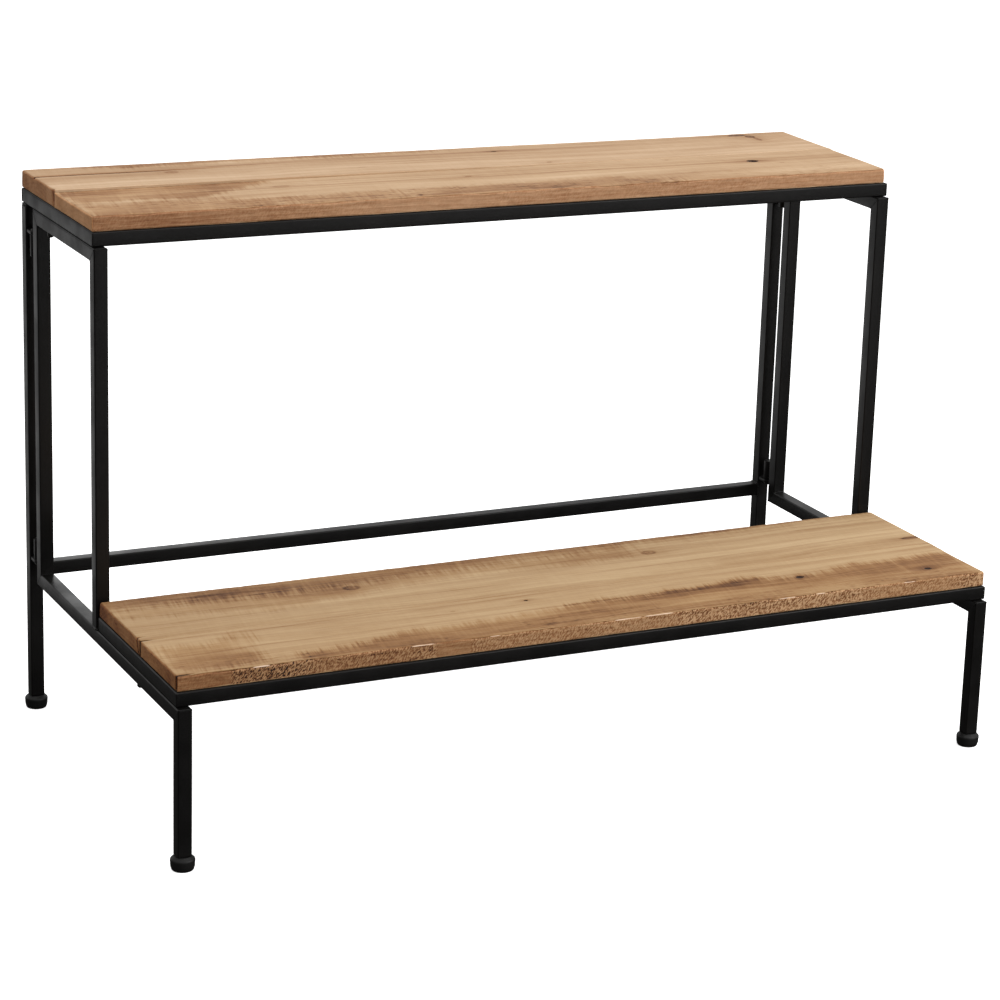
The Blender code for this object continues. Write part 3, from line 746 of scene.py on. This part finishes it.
boards = {
    "upper_shelf_back_plank": {
        "knots": [(0.064, 0.190, 0.0034, 0.0020, 0.85, 0.0006), (0.093, 0.126, 0.0040, 0.0018, 0.75, 0.0004),
                  (-0.272, 0.168, 0.0085, 0.0065, 0.40, 0.0), (-0.092, 0.146, 0.0060, 0.0015, 0.5, 0.0),
                  (0.340, 0.206, 0.0130, 0.0050, 0.85, 0.0), (0.3505, 0.197, 0.0065, 0.0075, 0.80, 0.0),
                  (0.352, 0.184, 0.0035, 0.0120, 0.60, 0.0)],
        "dull": [((-0.36, -0.30, -0.15, 0.0, 0.05), (0.204, 0.196, 0.197, 0.203, 0.212), 0.23, 0.55, 0.55)],
        "splits": [(-0.402, -0.165, 0.1790, 0.0019, 0.0, 0.0017, 0.002),
                   (-0.402, -0.3955, 0.1225, 0.0010, 0.25, 0.0045, 0.020)],
        "veins": [(0.1375, 0.139, 0.141), (0.178, 0.190, 0.1935)],
        "stripes": [(0.1175, 0.1375, -0.03, 0.05), (0.141, 0.162, 0.12, -0.05), (0.162, 0.190, 0.17, 0.08),
                    (0.190, 0.220, 0.14, 0.12)],
        "flecks": [(0.206, 0.220, 0.8)],
        "edge": [(0.0, 0.10)], "end": 0.02, "tufts": 0.2, "skew": 0.005, "taper": 0.0018,
        "pith": (0.172, 0.415), "seed": 3.1, "tint": (0.98, 0.94, 0.90, 1)},
    "upper_shelf_front_plank": {
        "knots": [(0.290, 0.080, 0.0056, 0.0046, 1.0, 0.0060), (-0.196, 0.088, 0.0110, 0.0050, 0.34, 0.0),
                  (-0.011, 0.085, 0.0042, 0.0028, 0.55, 0.0003), (0.210, 0.107, 0.0026, 0.0020, 0.45, 0.0),
                  (0.315, 0.066, 0.0036, 0.0020, 0.35, 0.0)],
        "dull": [((-0.402, -0.35, -0.28, -0.24, -0.20), (0.058, 0.066, 0.056, 0.080, 0.104), 0.125,
                  0.66, 0.92),
                 ((-0.402, -0.33, -0.26, -0.21), 0.002, (0.056, 0.060, 0.050, 0.044), 0.76, 0.66),
                 ((-0.25, -0.20, -0.10), 0.002, (0.050, 0.044, 0.048), 0.54, 0.54),
                 ((-0.14, -0.05, 0.01, 0.096, 0.17), -0.01, (0.050, 0.045, 0.049, 0.054, 0.036), 0.50, 0.46),
                 ((0.12, 0.256, 0.316, 0.41), -0.01, (0.038, 0.042, 0.034, 0.036), 0.34, 0.30)],
        "veins": [(0.0865, 0.082, 0.079)],
        "stripes": [(0.005, 0.1165, 0.06, 0.10)], "flecks": [(0.0, 0.050, 1.0)],
        "edge": [(-0.40, 0.16), (-0.25, 0.10), (-0.10, -0.04), (0.40, -0.02)], "end": -0.34, "tufts": 0.16,
        "skew": 0.005, "pith": (0.030, 0.405), "seed": 8.7, "tint": (0.98, 0.94, 0.88, 1)},
    "lower_shelf_back_plank": {
        "knots": [(-0.175, -0.042, 0.0105, 0.0080, 0.60, 0.0), (0.128, -0.043, 0.0098, 0.0070, 0.60, 0.0),
                  (0.391, -0.0895, 0.0150, 0.0042, 0.85, 0.0)],
        "dull": [((-0.405, -0.25, -0.10, 0.06, 0.14), (-0.028, -0.034, -0.030, -0.022, -0.014), 0.02,
                  0.64, 0.76),
                 ((0.08, 0.25, 0.41), (-0.020, -0.014, -0.010), 0.02, 0.46, 0.62),
                 ((-0.405, -0.320, -0.262, -0.20, -0.150, -0.05, 0.05, 0.12),
                  (-0.060, -0.064, -0.078, -0.074, -0.060, -0.050, -0.055, -0.050), 0.02, 0.52, 0.52)],
        "splits": [(-0.402, -0.390, -0.1016, 0.0020, 0.45, 0.0013, 0.020)],
        "veins": [(-0.031, -0.024, -0.031), (-0.076, -0.082, -0.070)],
        "stripes": [(-0.112, -0.080, 0.06, 0.09), (-0.080, -0.062, 0.07, -0.03), (-0.062, 0.005, 0.06, 0.05)],
        "flecks": [(-0.030, 0.005, 0.5)],
        "edge": [(0.0, 0.10)], "end": 0.17, "tufts": 0.2, "parted": 0.001,
        "pith": (-0.085, 0.06), "seed": 14.2, "tint": (0.88, 0.835, 0.70, 1)},
    "lower_shelf_front_plank": {
        "knots": [(-0.042, -0.129, 0.0026, 0.0020, 1.0, 0.0008),
                  (0.227, -0.157, 0.0048, 0.0034, 0.95, 0.0008),
                  (0.355, -0.177, 0.0044, 0.0032, 0.95, 0.0008),
                  (-0.219, -0.146, 0.012, 0.004, 0.10, 0.0), (-0.116, -0.134, 0.003, 0.002, 0.35, 0.0)],
        "dull": [((-0.402, -0.348, -0.318, -0.312), -0.200, (-0.130, -0.138, -0.116, -0.116), 0.58, 0.76),
                 ((-0.291, -0.219, -0.181, -0.137, -0.099, -0.04, 0.017, 0.10, 0.173, 0.228, 0.272, 0.299,
                   0.377, 0.402), -0.225,
                  (-0.186, -0.181, -0.169, -0.172, -0.168, -0.160, -0.152, -0.150, -0.144, -0.154, -0.149,
                   -0.142, -0.140, -0.144), 0.56, 0.90)],
        "splits": [(-0.402, -0.378, -0.2015, 0.0019, 0.0, 0.0013, 0.020)],
        "veins": [(-0.160, -0.153, -0.147), (-0.119, -0.1165, -0.123)],
        "stripes": [(-0.210, -0.112, 0.07, 0.06)], "flecks": [(-0.210, -0.180, 0.7)],
        "edge": [(-0.40, 0.17), (-0.18, 0.08), (-0.08, 0.01), (0.40, -0.05)], "end": 0.17, "parted": 0.001,
        "tufts": 1.0, "smooth": [(-0.410, -0.350), (-0.163, -0.130)],
        "splinters": [(-0.331, -0.316), (-0.187, -0.165), (-0.113, -0.102), (0.010, 0.036), (0.040, 0.068),
                      (0.178, 0.196), (0.216, 0.227), (0.311, 0.325)],
        "pith": (-0.155, 0.085), "seed": 21.9, "tint": (0.88, 0.835, 0.70, 1)},
}
for node, own_marks in boards.items():
    board = {**unmarked, **own_marks}
    low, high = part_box(node)
    seed = int(board["seed"] * 10)
    front_board = "front" in node
    shelf = node.split("_shelf")[0] + "_shelf"
    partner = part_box(shelf + ("_back_plank" if front_board else "_front_plank"))
    slit = partner[0][1] - high[1] if front_board else low[1] - partner[1][1]
    ease_low, ease_high = (arris, joint_arris) if front_board else (joint_arris, arris)
    x_marks = [(knot[0], knot[2] * 1.5, 13) for knot in board["knots"]]
    y_marks = [(knot[1], knot[3] * 1.5, 9) for knot in board["knots"]]
    y_marks += [(split[2] - 0.003 * split[4], 2.2 * split[5] + 0.011 * split[4], 11 + int(40 * split[4]))
                for split in board["splits"]]
    xs = ruled(low[0], high[0], grid_step[0], arris, arris, x_marks)
    ys = ruled(low[1], high[1], grid_step[1], ease_low, ease_high, y_marks)
    zs = ruled(low[2], high[2], grid_step[2], bottom_arris, arris)
    points, faces = shell(xs, ys, zs)

    # Rounded edges: a point near an edge moves onto an ellipse about the block that the edge is rounded from.
    # The top edges are worn rounder than the bottom ones, unevenly along the board, and the joint stays sharp
    rise = (points[:, 2] - low[2]) / (high[2] - low[2])
    worn = bottom_arris + (arris - bottom_arris) * ease(rise, 0.35, 1.0)
    worn *= 0.65 + 0.35 * noise(seed + 20, points[:, 0] / 0.045, points[:, 1] / 0.05)
    from_joint = np.abs(points[:, 1] - (high[1] if front_board else low[1]))
    soft_y = np.where(from_joint < (high[1] - low[1]) / 2, joint_arris, worn)
    soft_z = joint_arris + (worn - joint_arris) * ease(from_joint, 0.0, 0.006)
    reach = np.stack([worn, soft_y, soft_z], axis=-1)
    core = np.clip(points, np.array(low) + reach, np.array(high) - reach)
    push = (points - core) / reach
    outward = push / np.maximum(np.linalg.norm(push, axis=1, keepdims=True), 1e-9)
    points = core + outward * reach
    x, y, z = points.T
    top = ease(outward[:, 2], 0.2, 0.9)
    face_y = -outward[:, 1] if front_board else outward[:, 1]
    outer_edge = ease(face_y, 0.08, 0.60)
    end = ease(np.abs(outward[:, 0]), 0.3, 0.9)
    upper_arris = np.clip(face_y, 0, 1) * np.clip(outward[:, 2], 0, 1) * 2

    # Dull patches, with ragged outlines, each stronger towards one of its two lines
    ragged = (noise(seed, x / 0.030, y / 0.02) - 0.5) * 0.014
    ragged += (noise(seed + 1, x / 0.007, y / 0.03) - 0.5) * 0.010
    dull, hem = np.zeros((2, len(points)))
    for places, fronts, backs, at_front, at_back in board["dull"]:
        front, back = (np.interp(x, places, np.broadcast_to(line, len(places))) for line in (fronts, backs))
        inside = band(x + ragged, places[0], places[-1], 0.02) * band(y + ragged * 0.6, front, back, 0.014)
        near = np.maximum(front, low[1])
        share = np.clip((y - near) / np.maximum(np.minimum(back, high[1]) - near, 0.001), 0, 1)
        strength = at_front + (at_back - at_front) * share
        dull = np.maximum(dull, inside * strength)
        hem = np.maximum(hem, 4 * inside * (1 - inside) * strength)

    # Knots: the grain parts round each one; the heart is dark and ringed, and where it fell out it is sunk
    # and the whole hole is painted dark as shade
    knot_tone = np.zeros(len(points))
    sunk_knot = np.zeros(len(points))
    grain_shift = (noise(seed + 2, x / 0.11, y / 0.05) - 0.5) * 0.010
    for knot_x, knot_y, half_x, half_y, darkness, sunk in board["knots"]:
        away = np.hypot((x - knot_x) / half_x, (y - knot_y) / half_y)
        # A hole where the knot fell out is painted dark all over, as shade inside it
        heart = 1 - ease(away, 0.95 if sunk > hole_depth else 0.55, 1.15)
        ringed = 1.0 if sunk > hole_depth else 0.84 + 0.16 * np.cos(away * 10)
        halo = 0.30 * np.exp(-np.hypot((x - knot_x) / (half_x * 3.2), (y - knot_y) / (half_y * 1.6))**2)
        knot_tone = np.maximum(knot_tone, darkness * np.maximum(heart * ringed, halo))
        sunk_knot = np.maximum(sunk_knot, (1 - ease(away, 0.35, 1.0)) * sunk)
        sway = np.exp(-((x - knot_x) / (half_x * 4))**2) * np.exp(-np.abs(y - knot_y) / (half_y * 2.4))
        grain_shift -= np.sign(y - knot_y) * half_y * 0.8 * sway

    # Splits: narrow grooves along the grain, darkened by painted shade in proportion to their depth
    groove = np.zeros(len(points))
    for start, stop, split_y, sunk, lean, half_width, down in board["splits"]:
        centre = split_y + lean * (z - high[2]) + (noise(seed + 3, x / 0.03) - 0.5) * 0.0014
        width = half_width * (1 - ease(x, stop - (stop - start) * 0.6, stop))
        here = np.exp(-((y - centre) / np.maximum(width, 1e-6))**2) * (width > 1e-5)
        groove = np.maximum(groove, here * sunk * ease(z, high[2] - down - 0.001, high[2] - down + 0.001))

    # Veins: the distance to the nearest dark line in line widths, its sign turned at every second line
    vein = np.full(len(points), vein_reach)
    for count, (at_left, at_middle, at_right) in enumerate(board["veins"]):
        line = np.interp(x, (low[0], 0.0, high[0]), (at_left, at_middle, at_right))
        line = line + (noise(seed + 10 + count, x / 0.06) - 0.5) * 0.004
        here = np.clip((y - line) / vein_half, -vein_reach, vein_reach) * (1 if count % 2 == 0 else -1)
        vein = here if count == 0 else np.where(np.abs(here) < np.abs(vein), here, vein)
    vein = np.where(top > 0.5, vein, np.copysign(vein_reach, vein))

    # Flecks in patches, and stripes of tone along the board
    fleck = np.zeros(len(points))
    for y_from, y_to, strength in board["flecks"]:
        patchy = ease(noise(seed + 14, x / 0.05, y / 0.02), 0.25, 0.65)
        fleck = np.maximum(fleck, strength * band(y, y_from, y_to, 0.008) * patchy)
    tone = (noise(seed + 4, x / 0.16, y / 0.02) - 0.5) * 0.10
    for y_from, y_to, at_left, at_right in board["stripes"]:
        tone += band(y, y_from, y_to, 0.002) * np.interp(x, (low[0], high[0]), (at_left, at_right))

    # Outer edge: torn fibre, tufted but for the smooth stretches, with pale slivers along its top that are
    # partly a painted highlight on the arris
    torn = ease(outer_edge + (noise(seed + 5, x / 0.008, z / 0.01) - 0.5) * 0.7, 0.35, 0.75)
    tone += torn * np.interp(x, *zip(*board["edge"])) + end * board["end"] + 0.10 * upper_arris
    tuft = torn * board["tufts"] * (0.55 + 0.45 * ease(noise(seed + 13, x / 0.05), 0.3, 0.7))
    for x_from, x_to in board["smooth"]:
        tuft *= 1 - 0.85 * band(x, x_from, x_to, 0.003)
    splinter = np.zeros(len(points))
    for x_from, x_to in board["splinters"]:
        sliver = band(x, x_from + 0.001, x_to - 0.001, 0.001)
        splinter = np.maximum(splinter, sliver * ease(upper_arris, 0.62, 0.90))

    # Surface: slow waves, hollows with saw ridges, ragged outer edges, sunk knots and splits
    inset = 0.00020 * noise(seed + 7, x / 0.07, y / 0.03) * top
    inset += (0.00022 + 0.00022 * noise(seed + 8, x / 0.0058, y / 0.06)) * dull * top
    inset += outer_edge * 0.0005 * noise(seed + 9, x / 0.006, z / 0.004)
    inset += outer_edge * 0.0008 * noise(seed + 10, x / 0.045, z / 0.03)
    inset += upper_arris * 0.0012 * ease(noise(seed + 11, x / 0.016), 0.45, 0.95) * (1 - splinter)
    inset += end * 0.0003 * noise(seed + 12, y / 0.004, z / 0.004)
    inset += np.minimum(top + end, 1) * groove + top * sunk_knot
    points = points - outward * inset[:, None]

    # The saw left some boards thinner and their ends out of square towards the right
    shelf_front, shelf_back = min(low[1], partner[0][1]), max(high[1], partner[1][1])
    across_shelf = (y - shelf_front) / (shelf_back - shelf_front)
    points[:, 0] += board["skew"] * across_shelf * ease(x, 0.25, 0.40)
    points[:, 2] -= board["taper"] * rise * ease(x, -0.35, 0.30)

    # The boards meet along their joint and part near both ends
    middle_y = (low[1] + high[1]) / 2
    joint_side = y > middle_y if front_board else y < middle_y
    from_edge = np.minimum(np.abs(y - high[1]), np.abs(y - low[1]))
    nearness = np.where(joint_side, np.exp(-from_edge / 0.004), 0.0)
    closed = ease(x - low[0], 0.006, 0.030) * ease(high[0] - x, 0.004, 0.022)
    open_end = board["parted"] * (1 - ease(x - low[0], 0.002, 0.014))
    points[:, 1] += (1 if front_board else -1) * nearness * (closed * (slit / 2 - 0.00004) - open_end)

    # Painted shade darkens the joint's faces through the knot mark; the outer edge and the underside have no
    # dull patches
    finish = timber_finish(node + "_timber", board["pith"], board["seed"], board["tint"])
    joint_painted_shade = ease(-face_y, 0.5, 0.95) * (1 - ease(z, partner[1][2] - 0.0015, partner[1][2] - 0.0003))
    sawn_face = (1 - outer_edge) * (1 - ease(-outward[:, 2], 0.2, 0.9))
    # The knot mark holds the knots' own dark plus the painted shade of the splits and of the joint's faces
    marks = {"grain_shift": grain_shift, "dull": dull * sawn_face, "hem": hem * sawn_face,
             "fleck": fleck * top, "torn": torn, "tuft": tuft, "splinter": splinter,
             "end": end * (1 - joint_painted_shade), "tone": tone, "vein": vein,
             "knot": np.clip(knot_tone * top + groove * groove_shade + joint_painted_shade, 0, 1)}
    add_piece(node + "_board", points, faces, finish, shelf, [node], 60.0, marks)


# Floor, light and camera: a white light table for a floor, a soft sky, large soft boxes above and front
# right, and pale cards low in front and behind that show in the tubes' front and left faces.
# The camera stands front left, a little above the upper shelf, as in the photograph.
floor_half = 60.0
floor_corners = [(floor_half * x, floor_half * y, 0.0) for x, y in ((-1, -1), (1, -1), (1, 1), (-1, 1))]
floor_mesh = bpy.data.meshes.new("studio_floor")
floor_mesh.from_pydata(floor_corners, [], [(0, 1, 2, 3)])
floor_paint, floor_tree, floor_shader = new_material("pale_floor")
feed(floor_tree, floor_shader, {
    "Base Color": (0.93, 0.93, 0.93, 1),
    "Roughness": 0.9,
    "Specular IOR Level": 0.0,
    "Emission Color": (1.0, 1.0, 1.0, 1),
    "Emission Strength": 0.65})
floor_mesh.materials.append(floor_paint)
floor = bpy.data.objects.new("studio_floor", floor_mesh)
floor.visible_diffuse = False
floor.visible_glossy = False
floor.visible_shadow = False
bpy.context.scene.collection.objects.link(floor)

world = bpy.data.worlds.new("soft_sky")
bpy.context.scene.world = world
world.use_nodes = True
sky = world.node_tree
sky_place = put(sky, "ShaderNodeSeparateXYZ", {0: put(sky, "ShaderNodeTexCoord").outputs["Generated"]})
sky_share = eased(sky, sky_place.outputs[2], -0.10, 0.45)
sky_colour = blend_colour(sky, sky_share, (0.07, 0.068, 0.066, 1), (1.0, 1.0, 1.0, 1))
sky_side = eased(sky, sky_place.outputs[0], -0.9, 0.5, 0.75, 1.0)
sky_colour = blend_colour(sky, 1.0, sky_colour, sky_side, "MULTIPLY")
feed(sky, sky.nodes["Background"], {"Color": sky_colour, "Strength": 1.0})


def soft_box(name, place, aim, size, power):
    """A large rectangular lamp turned towards a point, unseen by the camera."""
    lamp = bpy.data.lights.new(name, "AREA")
    lamp.energy = power
    lamp.shape = "RECTANGLE"
    lamp.size, lamp.size_y = size
    box = bpy.data.objects.new(name, lamp)
    box.location = place
    direction = bpy.context.scene.cursor.location.copy()
    direction.xyz = [aim[i] - place[i] for i in range(3)]
    box.rotation_euler = direction.to_track_quat("-Z", "Y").to_euler()
    box.visible_camera = False
    bpy.context.scene.collection.objects.link(box)


soft_box("overhead_box", (-0.2, -0.3, 2.4), (0.0, 0.0, 0.3), (1.8, 1.4), 13.0)
soft_box("front_right_box", (1.3, -1.5, 1.3), (0.0, 0.0, 0.3), (1.2, 1.0), 25.0)
soft_box("low_front_card", (0.6, -2.4, 0.05), (0.0, 0.0, 0.5), (3.0, 0.30), 7.0)
soft_box("back_left_card", (-0.68, 0.72, 0.17), (-0.40, 0.10, 0.27), (0.50, 0.48), 0.42)
soft_box("back_card", (-0.04, 0.72, 0.20), (0.39, 0.05, 0.30), (0.55, 0.40), 0.70)

sensor_width = 36.0
focal_ratio = 3.1042
camera_data = bpy.data.cameras.new("camera")
camera_data.sensor_width = sensor_width
camera_data.lens = focal_ratio * sensor_width
camera_data.shift_x = -0.0972
camera_data.shift_y = -0.0437
camera_data.clip_end = 200.0
camera = bpy.data.objects.new("camera", camera_data)
camera.location = (-1.2097, -2.5009, 1.0685)
camera.rotation_mode = "XYZ"
heading, tilt, roll = np.radians([27.488, 16.029, 2.269])
forward = np.array([np.sin(heading) * np.cos(tilt), np.cos(heading) * np.cos(tilt), -np.sin(tilt)])
right = np.array([np.cos(heading), -np.sin(heading), 0.0])
upward = np.cross(right, forward)
right, upward = np.cos(roll) * right + np.sin(roll) * upward, np.cos(roll) * upward - np.sin(roll) * right
matrix = camera.matrix_world.copy()
for row in range(3):
    matrix[row][0], matrix[row][1], matrix[row][2] = right[row], upward[row], -forward[row]
camera.rotation_euler = matrix.to_euler("XYZ")
bpy.context.scene.collection.objects.link(camera)
bpy.context.scene.camera = camera
